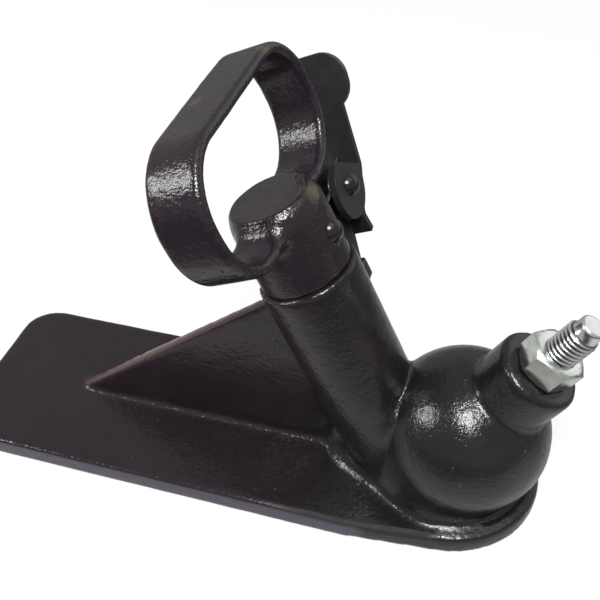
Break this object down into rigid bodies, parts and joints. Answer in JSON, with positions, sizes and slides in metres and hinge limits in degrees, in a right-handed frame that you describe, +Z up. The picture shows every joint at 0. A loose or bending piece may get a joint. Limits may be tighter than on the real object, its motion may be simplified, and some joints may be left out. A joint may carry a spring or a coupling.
{
  "type": "trailer coupling head",
  "caption": "Cast weld-on trailer coupling for a ball, with a leaning barrel, lift-up loop handle and spring plunger, side trigger, rear rib and front adjuster screw.",
  "frame": {"origin": "centre of the coupled ball", "axes": "+X forward to the towing vehicle, along the plate; +Z up; +Y to the left, the trigger's side"},
  "size_m": [0.243, 0.1108, 0.1607],
  "materials": {
    "body_paint": "gloss black paint over a rough sand casting",
    "handle_paint": "gloss black paint over a rough sand casting",
    "trigger_paint": "black paint on pressed steel sheet",
    "handle_rivet_paint": "gloss black paint on a steel rivet",
    "trigger_rivet_paint": "gloss black paint on a steel rivet",
    "plunger_steel": "bare turned steel, lightly oiled",
    "plunger_spring_steel": "dark spring wire",
    "trigger_spring_steel": "dark spring wire",
    "screw_zinc": "bright zinc plate",
    "nut_zinc": "bright zinc plate, faintly yellow",
    "pad_steel": "bare turned steel, lightly oiled"
  },
  "bodies": {
    "casting": {"coupling_body": "body_paint", "plunger_spring": "plunger_spring_steel"},
    "lifter": {"handle": "handle_paint", "plunger": "plunger_steel", "handle_rivet": "handle_rivet_paint", "trigger_rivet": "trigger_rivet_paint"},
    "lever": {"trigger": "trigger_paint", "trigger_spring": "trigger_spring_steel"},
    "pad": {"ball_pad": "pad_steel"},
    "screw": {"adjuster_screw": "screw_zinc"},
    "nut": {"lock_nut": "nut_zinc"}
  },
  "joints": [
    {"name": "handle_lift", "type": "slide", "parent": "casting", "child": "lifter", "axis": [-0.3987, 0, 0.9171], "range_m": [0, 0.019], "stiffness_N_per_m": 4000, "springref_m": -0.01, "deforming": ["plunger_spring"]},
    {"name": "trigger_squeeze", "type": "hinge", "parent": "lifter", "child": "lever", "pos_m": [-0.0632, 0.0362, 0.07199], "axis": [0.9171, 0, 0.3987], "range_deg": [0, 18], "stiffness_Nm_per_rad": 0.6, "springref_deg": -17.19},
    {"name": "pad_advance", "type": "slide", "parent": "casting", "child": "pad", "axis": [-0.4939, 0, -0.8695], "range_m": [0, 0.00175]},
    {"name": "screw_turn", "type": "hinge", "parent": "pad", "child": "screw", "pos_m": [0, 0, 0], "axis": [-0.4939, 0, -0.8695], "range_deg": [0, 361]},
    {"name": "nut_turn", "type": "hinge", "parent": "casting", "child": "nut", "pos_m": [0, 0, 0], "axis": [0.4939, 0, 0.8695], "range_deg": [0, 360]}
  ],
  "couplings": [
    {"joint": "screw_turn", "follows": "pad_advance", "rad_per_m": 3590.4}
  ]
}
